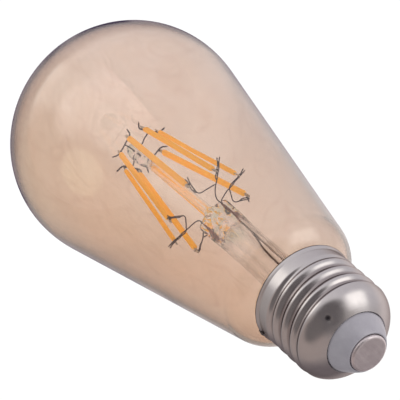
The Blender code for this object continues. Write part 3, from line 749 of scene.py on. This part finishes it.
def screw_shell():
    """The pressed shell: outer and inner surfaces, joined at the mouth and at the lip."""
    rows = 130
    plain_end = LIP_END_DEPTH - LIP_ROLL
    depths = [SHELL_START_DEPTH + (plain_end - SHELL_START_DEPTH) * i / rows for i in range(rows + 1)]
    depths += [plain_end + LIP_ROLL * math.sin(math.pi / 2 * i / 8) for i in range(1, 9)]
    turns = [2 * math.pi * i / ROUND for i in range(ROUND)]
    mesh_bm = bmesh.new()
    outer = []
    inner = []
    for depth in depths:
        lean = fade(SHELL_DOME_DEPTH - depth, 0, SHELL_DOME_DEPTH - SHELL_START_DEPTH)
        radii = [shell_radius(depth, t) for t in turns]
        outer.append([mesh_bm.verts.new(polar(r, t, depth)) for r, t in zip(radii, turns)])
        drop = depth + SHELL_WALL * lean
        inner.append([mesh_bm.verts.new(polar(r - SHELL_WALL, t, drop)) for r, t in zip(radii, turns)])
    skin(mesh_bm, outer + inner[::-1], True)
    return make_piece("screw_shell_skin", mesh_bm, LOOKS["nickel_plate"])


def centre_contact():
    """The flat disc that meets the lampholder, with a rounded rim."""
    round_off = 0.7 * MM
    flat = CONTACT_RADIUS - round_off
    rim = arc((flat, round_off), round_off, -math.pi / 2, 0, 8)
    face = [(flat * i / 8, 0) for i in range(8)]
    outline = face + rim + [(CONTACT_RADIUS, CONTACT_THICKNESS), (0, CONTACT_THICKNESS)]
    return lathe("centre_contact_disc", outline, LOOKS["contact_metal"], 96)


def cap_insulator():
    """The cone between the shell and the contact, slightly swollen, with a small lip at the contact."""
    seat = CONTACT_RADIUS + 0.12 * MM
    hole = 1.2 * MM
    bottom = 8.4 * MM
    rim = arc((seat + 0.25 * MM, 1.1 * MM), 0.25 * MM, math.pi, 1.75 * math.pi, 5)
    start = rim[-1]
    end = INSULATOR_EDGE
    slope = []
    for i in range(1, 12):
        share = i / 12
        bulge = INSULATOR_BULGE * math.sin(math.pi * share)
        slope.append(tuple(a + (b - a) * share + bulge * s for a, b, s in zip(start, end, (1, -0.5))))
    foot = [(end[0], 6.2 * MM), (INSULATOR_SEAT, 7.6 * MM), (INSULATOR_SEAT, bottom), (hole, bottom)]
    behind_contact = CONTACT_THICKNESS + 0.1 * MM
    outline = [(seat, behind_contact)] + rim + slope + [end] + foot + [(hole, behind_contact)]
    return lathe("cap_insulator_ring", outline, LOOKS["grey_insulator"], 112, True, 35)


def rim_solder():
    """The drop of solder on the lip, half sunk in it."""
    low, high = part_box("rim_solder")
    centre = (low + high) / 2
    outward = Vector((centre.x, centre.y, 0)).normalized()
    mesh_bm = bmesh.new()
    blob_into(mesh_bm, Vector(), (0.3 * MM, 0.8 * MM, 0.42 * MM), 3)
    made = make_piece("rim_solder_drop", mesh_bm, LOOKS["solder"])
    made.data.transform(Matrix.Rotation(math.atan2(outward.y, outward.x), 4, "Z"))
    made.data.transform(Matrix.Translation(centre - outward * 0.5 * MM))
    return made


# ---------------------------------------------------------------- stem


def stem():
    """The flare, tube, press, rod and button, which are melted into one piece of glass."""
    lean = math.tan(ROD_LEAN)
    flare = [
        (9.6 * MM, 9.6 * MM, 0, 21.2 * MM),
        (9.6 * MM, 9.6 * MM, 0, 22.0 * MM),
        (7.6 * MM, 7.6 * MM, 0, 24.0 * MM),
        (5.9 * MM, 5.9 * MM, 0, 27.3 * MM),
        (5.05 * MM, 5.05 * MM, 0, 32 * MM),
        (STEM_RADIUS, STEM_RADIUS, 0, 38 * MM),
        (STEM_RADIUS, STEM_RADIUS, 0, 47 * MM),
        (STEM_RADIUS, STEM_RADIUS, 0, PRESS_START_DEPTH),
        (4.8 * MM, 3.6 * MM, 0, 58.5 * MM),
        (PRESS_HALF_WIDTH, 2.1 * MM, 0, 61.5 * MM),
        (PRESS_HALF_WIDTH, PRESS_HALF_THICKNESS, 0, 63.5 * MM),
        (PRESS_HALF_WIDTH, PRESS_HALF_THICKNESS, 0, 66.6 * MM),
        (4.5 * MM, 1.65 * MM, 0, 67.4 * MM),
        (3.2 * MM, 1.5 * MM, 0, 67.8 * MM),
        (1.9 * MM, 1.4 * MM, 0, 68.2 * MM),
    ]
    rod_depths = [69.4 * MM + (96.5 - 69.4) * MM * i / 6 for i in range(7)]
    rod = [(ROD_RADIUS, ROD_RADIUS, lean * (d - PRESS_DEPTH), d) for d in rod_depths]
    button = [(1.65 * MM, 97.7 * MM), (BUTTON_RADIUS, 99.6 * MM), (BUTTON_RADIUS, 103.6 * MM)]
    button += [(1.5 * MM, 105.6 * MM), (0.8 * MM, 106.3 * MM)]
    tip = [(r, r, lean * (d - PRESS_DEPTH), d) for r, d in button]
    outer = smooth_curve(flare, 5) + smooth_curve(rod + tip, 4)
    outer.append((0, 0, lean * (ROD_END_DEPTH - PRESS_DEPTH), ROD_END_DEPTH))
    bore = STEM_RADIUS - STEM_WALL
    inner = [
        (2.6 * MM, 1.8 * MM, 0, CAVITY_DEPTH - 0.1 * MM),
        (3.6 * MM, 2.5 * MM, 0, CAVITY_DEPTH - 0.8 * MM),
        (3.8 * MM, 3.3 * MM, 0, 56.3 * MM),
        (bore, bore, 0, PRESS_START_DEPTH - 1 * MM),
        (bore, bore, 0, 46 * MM),
        (bore, bore, 0, 38 * MM),
        (4.2 * MM, 4.2 * MM, 0, 31.5 * MM),
        (5.1 * MM, 5.1 * MM, 0, 26.6 * MM),
        (6.8 * MM, 6.8 * MM, 0, 23.3 * MM),
        (8.6 * MM, 8.6 * MM, 0, 21.2 * MM),
    ]
    rings = [(0, 0, 0, CAVITY_DEPTH)] + smooth_curve(inner, 5) + outer
    return ring_solid("stem_glasswork", rings, LOOKS["clear_glass"], 72)


def exhaust_tube():
    """The thin tube inside the stem, melted shut at its tip."""
    start = CAVITY_DEPTH - 0.5 * MM
    bore = EXHAUST_RADIUS - EXHAUST_WALL
    tip = EXHAUST_TIP_DEPTH
    seal = [
        (0, tip + 2.2 * MM),
        (bore * 0.5, tip + 2.4 * MM),
        (bore * 0.85, tip + 3.2 * MM),
        (bore, tip + 4.4 * MM),
    ]
    nose = [
        (EXHAUST_RADIUS, tip + 3.6 * MM),
        (EXHAUST_RADIUS * 0.9, tip + 2.2 * MM),
        (EXHAUST_RADIUS * 0.6, tip + 0.8 * MM),
        (EXHAUST_RADIUS * 0.25, tip + 0.1 * MM),
        (0, tip),
    ]
    outline = smooth_curve(seal, 3) + [(bore, start), (EXHAUST_RADIUS, start)] + smooth_curve(nose, 3)
    return lathe("exhaust_tube_glass", outline, LOOKS["clear_glass"], FINE)


# ---------------------------------------------------------------- filaments and their wires


def filament_ends(index):
    step = 360 / FILAMENTS
    top = math.radians(step * index + TOP_LEAN[index])
    bottom = math.radians(step * index + BOTTOM_LEAN[index])
    return polar(FILAMENT_TOP[0], top, FILAMENT_TOP[1]), polar(FILAMENT_BOTTOM[0], bottom, FILAMENT_BOTTOM[1])


def filament_frame(index):
    """The dome end, and the directions across the strip, around the bulb and along the strip to the cap."""
    start, end = filament_ends(index)
    along = (end - start).normalized()
    middle = (start + end) / 2
    around = UP.cross(middle).normalized()
    around = (around - along * around.dot(along)).normalized()
    return start, around.cross(along), around, along


def strip(index):
    """The phosphor-coated strip: a soft-cornered bar with a hump over each chip and rounded ends."""
    start, end = filament_ends(index)
    length = (end - start).length
    _, across, around, along = filament_frame(index)
    rows = 150
    sides = 20
    mesh_bm = bmesh.new()
    loops = [[mesh_bm.verts.new(start)]]
    for i in range(rows + 1):
        share = i / rows
        place_along = length * share
        near_end = min(place_along, length - place_along)
        swell = math.sqrt(min(1, (near_end + 0.04 * MM) / (0.7 * MM)) * (2 - min(1, near_end / (0.7 * MM))))
        chips = 0.02 * MM * math.cos(2 * math.pi * place_along / (1.15 * MM))
        ring = []
        for j in range(sides):
            turn = 2 * math.pi * j / sides
            corner = abs(math.cos(turn)) ** 3 + abs(math.sin(turn)) ** 3
            reach = corner ** (-1 / 3)
            away = across * math.cos(turn) * (FILAMENT_HALF_THICKNESS - 0.04 * MM + chips)
            away += around * math.sin(turn) * (FILAMENT_HALF_WIDTH - 0.03 * MM)
            point = start + along * place_along + away * reach * 0.93 * swell
            lump = noise.noise(point * 900 + Vector((index * 7.0, 0, 0))) * 0.04 * MM
            ring.append(mesh_bm.verts.new(point + away.normalized() * lump * swell))
        loops.append(ring)
    loops.append([mesh_bm.verts.new(end)])
    skin(mesh_bm, loops)
    made = make_piece(f"filament_{index + 1}_strip", mesh_bm, LOOKS["phosphor"])
    made.visible_glossy = False
    return made


# Each row of a tab: millimetres out from the end of the phosphor, and its share of the full width.
TAB_ROWS = ((-0.8, 1), (0.9, 1), (1.35, 0.95), (1.7, 0.7))
TAB_SIDES = 16


def tabs(index):
    """The bare metal strips that come out of both ends of the phosphor."""
    start, end = filament_ends(index)
    _, across, around, along = filament_frame(index)
    mesh_bm = bmesh.new()
    for point, outward in ((start, -along), (end, along)):
        loops = []
        for place_along, wide in TAB_ROWS:
            ring = []
            for j in range(TAB_SIDES):
                turn = 2 * math.pi * j / TAB_SIDES
                corner = (abs(math.cos(turn)) ** 4 + abs(math.sin(turn)) ** 4) ** -0.25
                away = across * math.cos(turn) * TAB_HALF_THICKNESS * 0.75
                away += around * math.sin(turn) * TAB_HALF_WIDTH * wide
                ring.append(mesh_bm.verts.new(point + outward * place_along * MM + away * corner))
            loops.append(ring)
        skin(mesh_bm, loops)
        mesh_bm.faces.new(loops[0])
        mesh_bm.faces.new(loops[-1])
    return make_piece(f"filament_{index + 1}_tabs", mesh_bm, LOOKS["filament_tab"])


def cut_end(share):
    """Flattened where the pliers cut a wire, near share 1."""
    press = fade(share, 0.93, 1.0)
    return 1 + 0.35 * press, 1 - 0.45 * press


def both_cut(share):
    return cut_end(max(share, 1 - share))


def top_link(number, pair):
    """A wire welded across the dome ends of two neighbours, with a stalk melted into the rod's button."""
    clear = TAB_HALF_THICKNESS + WIRE_GAP + WIRE_RADIUS
    welds = []
    outward = []
    for index in pair:
        start, _, _, along = filament_frame(index)
        radial = Vector((start.x, start.y, 0)).normalized()
        welds.append(start - along * WELD_OFFSET - radial * clear)
        outward.append(radial)
    chord = (welds[1] - welds[0]).normalized()
    past = TAB_HALF_WIDTH + WIRE_GAP + 2 * WIRE_RADIUS
    ends = [welds[0] - chord * past, welds[1] + chord * past]
    tips = [ends[i] + (outward[i] + chord * (2 * i - 1) * 0.15).normalized() * FREE_END for i in (0, 1)]
    mesh_bm = bmesh.new()
    path = subdivide(rounded_path([tips[0], ends[0], ends[1], tips[1]], 0.9 * MM), 0.5 * MM)
    tube_into(mesh_bm, wobble(path, 0.25 * MM, 2.2 * MM, number), WIRE_RADIUS, squeeze=both_cut)
    middle = (welds[0] + welds[1]) / 2
    button = Vector((math.tan(ROD_LEAN) * (-middle.z - PRESS_DEPTH), 0, middle.z))
    inward = (button - middle).normalized()
    reach = (button - middle).length - 0.5 * MM
    stalk = subdivide([middle, middle + inward * reach], 0.5 * MM)
    tube_into(mesh_bm, wobble(stalk, 0.2 * MM, 2 * MM, number + 9), WIRE_RADIUS * 0.95)
    for weld, radial in zip(welds, outward):
        blob_into(mesh_bm, weld + radial * 0.24 * MM, (0.34 * MM, 0.34 * MM, 0.3 * MM), number)
    return fuse(make_piece(f"top_link_{number}_wire", mesh_bm, LOOKS["support_wire"]), 0.06 * MM)


def arm_points(index):
    """Elbow, weld and free tip of the arm that runs out beside a filament's cap end."""
    _, _, around, along = filament_frame(index)
    end = filament_ends(index)[1]
    tip = polar(ARM_TIP_RADIUS, math.radians(ARM_TIP_AZIMUTHS[index]), ARM_TIP_DEPTHS[index])
    side = math.copysign(TAB_HALF_WIDTH + WIRE_GAP + WIRE_RADIUS, around.dot(tip - end))
    weld = end + along * WELD_OFFSET + around * side
    elbow = weld * (ARM_ELBOW_RADIUS / Vector((weld.x, weld.y, 0)).length)
    elbow.z = weld.z
    return elbow, weld, tip, -around * side


def bottom_link(number, pair):
    """A wire melted into the press and welded to one filament, with a branch to its neighbour."""
    elbow, weld, tip, inward = arm_points(pair[0])
    root = Vector((math.copysign(BOTTOM_ROOT[0], elbow.x), 0, -PRESS_DEPTH + 1.2 * MM))
    root.y = BOTTOM_ROOT[1] if pair[0] in BEHIND_THE_STEM else -BOTTOM_ROOT[1]
    rise = root + Vector((0, 0, -2.7 * MM))
    mesh_bm = bmesh.new()
    path = subdivide(rounded_path([root, rise, elbow, weld, tip], 1.3 * MM), 0.5 * MM)
    tube_into(mesh_bm, wobble(path, 0.3 * MM, 2.5 * MM, number), STRAND_RADIUS, squeeze=cut_end)
    other_elbow, other_weld, other_tip, other_inward = arm_points(pair[1])
    start = elbow.lerp(weld, 0.12)
    branch = subdivide(rounded_path([start, other_elbow, other_weld, other_tip], 1.3 * MM), 0.5 * MM)
    tube_into(mesh_bm, wobble(branch, 0.3 * MM, 2.5 * MM, number + 5), STRAND_RADIUS, squeeze=cut_end)
    for tail, tip_at, shift in ((path, tip, inward), (branch, other_tip, other_inward)):
        strand = [tail[-16]] + [point + shift * 0.5 for point in tail[-14:-3]]
        strand.append(tip_at + shift * 0.9)
        strand = wobble(subdivide(strand, 0.4 * MM), 0.3 * MM, 1.5 * MM, number + 8)
        tube_into(mesh_bm, strand, STRAND_RADIUS)
    for place_at, shift in ((weld, inward), (other_weld, other_inward)):
        blob_into(mesh_bm, place_at + shift * 0.45, (0.36 * MM, 0.36 * MM, 0.3 * MM), number + 3)
    return fuse(make_piece(f"bottom_link_{number}_wire", mesh_bm, LOOKS["support_wire"]), 0.06 * MM)


def press_seal(number, root, end):
    """A copper-coated wire sealed in the press glass."""
    mesh_bm = bmesh.new()
    path = subdivide([root, root.lerp(end, 0.55) + Vector((0, 0, 0.3 * MM)), end], 0.6 * MM)
    tube_into(mesh_bm, wobble(path, 0.3 * MM, 3 * MM, number), 0.25 * MM)
    return make_piece(f"press_seal_{number}", mesh_bm, LOOKS["dumet"])


def lead(name):
    points = [polar(ring, math.radians(azimuth), depth) for ring, azimuth, depth in LEADS[name]]
    path = [Vector(p) for p in smooth_curve(points, 10)]
    mesh_bm = bmesh.new()
    tube_into(mesh_bm, path, LEAD_RADIUS)
    return make_piece(name + "_wire", mesh_bm, LOOKS["lead_wire"])


# ---------------------------------------------------------------- camera, floor and light

CAMERA_PLACE = Vector((-0.000496, -0.401575, 0.330744))
CAMERA_RIGHT = Vector((-0.66549, 0.53013, 0.52544))
CAMERA_UP = Vector((-0.74641, -0.47266, -0.46847))
CAMERA_BACK = Vector((0, -0.70396, 0.71024))
CAMERA_LENS = 204.405
CAMERA_SENSOR = 36
AIM = Vector((0, 0, -0.07))


def camera():
    data = bpy.data.cameras.new("camera")
    made = bpy.data.objects.new("camera", data)
    bpy.context.scene.collection.objects.link(made)
    basis = Matrix((CAMERA_RIGHT, CAMERA_UP, CAMERA_BACK)).transposed().to_4x4()
    made.matrix_world = Matrix.Translation(CAMERA_PLACE) @ basis
    data.lens = CAMERA_LENS
    data.sensor_width = CAMERA_SENSOR
    data.clip_start = 0.01
    bpy.context.scene.camera = made


def direction(right, up, back):
    return (CAMERA_RIGHT * right + CAMERA_UP * up + CAMERA_BACK * back).normalized()


def floor():
    mesh_bm = bmesh.new()
    bmesh.ops.create_grid(mesh_bm, x_segments=8, y_segments=8, size=3)
    look = new_material("floor_paint", Roughness=0.9)
    mottle(look, noise_of(look, 3), (0.04, 0.04, 0.04), (0.05, 0.05, 0.05))
    set_sockets(look, Emission_Color=(1.0, 1.0, 1.0))
    mirrored = add_node(look, "ShaderNodeLightPath").outputs["Glossy Depth"]
    link(look, spread(look, mirrored, 0.2, 0.8, 0.97, 0.40), shader_of(look).inputs["Emission Strength"])
    made = make_piece("floor", mesh_bm, look)
    made.location = (0, 0, -0.2)
    made.visible_glossy = False
    made.visible_diffuse = False


def softbox(name, toward, distance, width, height, power):
    """A soft panel that lights the matt pieces; the world below draws what glass and metal mirror."""
    data = bpy.data.lights.new(name, "AREA")
    data.shape = "RECTANGLE"
    data.size = width
    data.size_y = height
    data.energy = power
    made = bpy.data.objects.new(name, data)
    bpy.context.scene.collection.objects.link(made)
    turn = toward.to_track_quat("Z", "Y").to_matrix().to_4x4()
    made.matrix_world = Matrix.Translation(AIM + toward * distance) @ turn
    made.visible_camera = False
    made.visible_glossy = False
    made.visible_transmission = False


# What the bulb mirrors. "near" is the metal and the wall of the glass that faces the camera, and "far" is the
# other wall.
ROOM_LOW = (0.39, 0.345, 0.345)
ROOM_MIDDLE = (0.48, 0.45, 0.44)
ROOM_HIGH = (0.85, 0.83, 0.85)
PATCHES = (
    # toward (right, up, back), cosines of the edge and the core, colour, which surfaces mirror it
    ((0.55, 0.75, -0.1), 0.30, 0.95, (0.70, 0.68, 0.72), "near"),
    ((0.55, 0.75, -0.1), 0.30, 0.95, (0.92, 1.02, 1.18), "far"),
    ((-0.55, -0.6, 0.45), 0.45, 0.9, (0.44, 0.37, 0.35), "near"),
    ((-0.55, -0.6, 0.45), 0.45, 0.9, (0.32, 0.25, 0.22), "far"),
    ((0.3, -0.7, -0.6), 0.55, 0.85, (0.21, 0.18, 0.19), "near"),
    ((0.5, 0.0, -0.85), 0.6, 0.95, (0.95, 0.87, 0.86), "both"),
    ((-0.38, 0.38, -0.84), 0.72, 0.90, (0.13, 0.10, 0.16), "both"),
    ((0.0, 0.0, 1.0), 0.72, 0.90, (0.15, 0.135, 0.14), "both"),
    ((-0.45, -0.35, 0.8), 0.84, 0.96, (0.18, 0.16, 0.16), "both"),
    ((0.80, -0.52, 0.30), 0.88, 0.98, (1.8, 2.2, 2.8), "far"),
    ((0.78, 0.38, 0.46), 0.91, 0.95, (1.7, 2.3, 2.3), "far"),
)
PANELS = (
    # toward (right, up, back), half width, half height, edge softness, colour
    ((0.78, 0.40, 0.46), 0.20, 0.14, 0.30, (1.6, 1.57, 1.55)),
    ((-0.80, 0.58, 0.05), 0.45, 0.15, 0.20, (1.35, 1.31, 1.27)),
)
# A screen with a dark frame, which the far wall mirrors. The first direction is square to its straight edge,
# and the pairs are the cosines to it at which the frame and the screen begin and are whole.
SCREEN_SIDE = (0.736, 0.657, 0.162)
SCREEN_FRAME = (-0.52, -0.41)
SCREEN_START = (-0.375, -0.35)
SCREEN_MIDDLE = (0.25, -0.70, 0.67)
SCREEN_FADE = (0.55, 0.98)
SCREEN_COLOUR = (1.5, 1.7, 2.1)
# How many skins of glass a ray has passed: with more than the first number the far wall mirrored it, and with
# more than the second it sees plain white.
FAR_PASSES = 3.5
MOST_PASSES = 7.5


def cosine_to(look, vector, axis):
    node = add_node(look, "ShaderNodeVectorMath", operation="DOT_PRODUCT")
    link(look, vector, node.inputs[0])
    node.inputs[1].default_value = axis
    return node.outputs["Value"]


def panel_mask(look, vector, toward, half_width, half_height, soft):
    """1 where a ray runs to a rectangular panel that faces the bulb, with soft edges."""
    level = CAMERA_UP - toward * CAMERA_UP.dot(toward)
    level.normalize()
    across = level.cross(toward)
    ahead = cosine_to(look, vector, toward)
    mask = spread(look, ahead, 0.0, 0.05)
    for axis, half in ((across, half_width), (level, half_height)):
        offset = maths(look, "ABSOLUTE", maths(look, "DIVIDE", cosine_to(look, vector, axis), ahead))
        mask = maths(look, "MULTIPLY", mask, spread(look, offset, half, half + soft, 1, 0))
    return mask


def mirrored_room(look, vector, passes):
    """The studio that the bulb mirrors, as a colour for each direction."""
    height = cosine_to(look, vector, CAMERA_UP)
    room = mix_colours(look, spread(look, height, -0.9, -0.1), ROOM_LOW, ROOM_MIDDLE)
    room = mix_colours(look, spread(look, height, -0.1, 0.8), room, ROOM_HIGH)
    far = maths(look, "GREATER_THAN", passes, FAR_PASSES)
    near = maths(look, "SUBTRACT", 1.0, far)
    for toward, outside, core, colour, mirrored_by in PATCHES:
        mask = spread(look, cosine_to(look, vector, direction(*toward)), outside, core)
        if mirrored_by != "both":
            mask = maths(look, "MULTIPLY", mask, near if mirrored_by == "near" else far)
        room = mix_colours(look, mask, room, colour)
    side = cosine_to(look, vector, direction(*SCREEN_SIDE))
    reach = spread(look, cosine_to(look, vector, direction(*SCREEN_MIDDLE)), *SCREEN_FADE)
    reach = maths(look, "MULTIPLY", reach, far)
    for limits, colour in ((SCREEN_FRAME, (0.0, 0.0, 0.0)), (SCREEN_START, SCREEN_COLOUR)):
        room = mix_colours(look, maths(look, "MULTIPLY", spread(look, side, *limits), reach), room, colour)
    for toward, half_width, half_height, soft, colour in PANELS:
        mask = panel_mask(look, vector, direction(*toward), half_width, half_height, soft)
        room = mix_colours(look, maths(look, "MULTIPLY", mask, near), room, colour)
    return room


def world():
    """White behind the bulb, even light on matt pieces, and a studio for whatever mirrors it."""
    made = bpy.data.worlds.new("studio")
    bpy.context.scene.world = made
    made.use_nodes = True
    vector = add_node(made, "ShaderNodeTexCoord").outputs["Generated"]
    path = add_node(made, "ShaderNodeLightPath").outputs
    mirrored = maths(made, "GREATER_THAN", path["Glossy Depth"], 0.5)
    shallow = maths(made, "LESS_THAN", path["Transmission Depth"], MOST_PASSES)
    mirrored = maths(made, "MULTIPLY", mirrored, shallow)
    room = mirrored_room(made, vector, path["Transmission Depth"])
    seen = mix_colours(made, mirrored, (1.0, 1.0, 1.0), room)
    lit = maths(made, "GREATER_THAN", path["Diffuse Depth"], 0.5)
    seen = mix_colours(made, lit, seen, (0.95, 0.95, 0.95))
    link(made, seen, made.node_tree.nodes["Background"].inputs["Color"])


def main():
    place(glass_envelope(), "amber_glass", "glass_envelope")
    place(screw_shell(), "nickel_plate", "screw_shell")
    place(centre_contact(), "contact_metal", "centre_contact")
    place(cap_insulator(), "grey_insulator", "cap_insulator")
    place(rim_solder(), "solder", "rim_solder")
    place(stem(), "clear_glass", "stem_flare", "stem_rod")
    place(exhaust_tube(), "clear_glass", "exhaust_tube")
    for index in range(FILAMENTS):
        place(strip(index), "phosphor", f"filament_{index + 1}")
        place(tabs(index), "support_wire")
    for number, pair in enumerate(TOP_PAIRS, 1):
        place(top_link(number, pair), "support_wire", f"top_link_{number}")
    for number, pair in enumerate(BOTTOM_PAIRS, 1):
        place(bottom_link(number, pair), "support_wire", f"bottom_link_{number}")
    for name in LEADS:
        place(lead(name), "lead_wire", name)
    seals = [(x, y) for x in (-1, 1) for y in (-1, 1)]
    for number, (x, y) in enumerate(seals, 1):
        root = Vector((x * BOTTOM_ROOT[0], y * BOTTOM_ROOT[1], -PRESS_DEPTH + 1.0 * MM))
        end = Vector((x * 3.17 * MM, y * 0.39 * MM, -58.0 * MM))
        place(press_seal(number, root, end), "lead_wire")
    slots = {row["node"]: row["material_slot"] for row in frame["record"]["subparts"]}
    for name, node in frame["nodes"].items():
        if not node.hide_render:
            node.data.materials.clear()
            node.data.materials.append(LOOKS[slots[name]])
    camera()
    floor()
    world()
    softbox("key", direction(0.78, 0.36, 0.48), 0.6, 0.5, 0.4, 2.0)
    softbox("fill", direction(-0.80, 0.58, 0.05), 0.7, 0.6, 0.3, 1.0)
    bpy.context.scene.view_settings.view_transform = "Standard"


main()
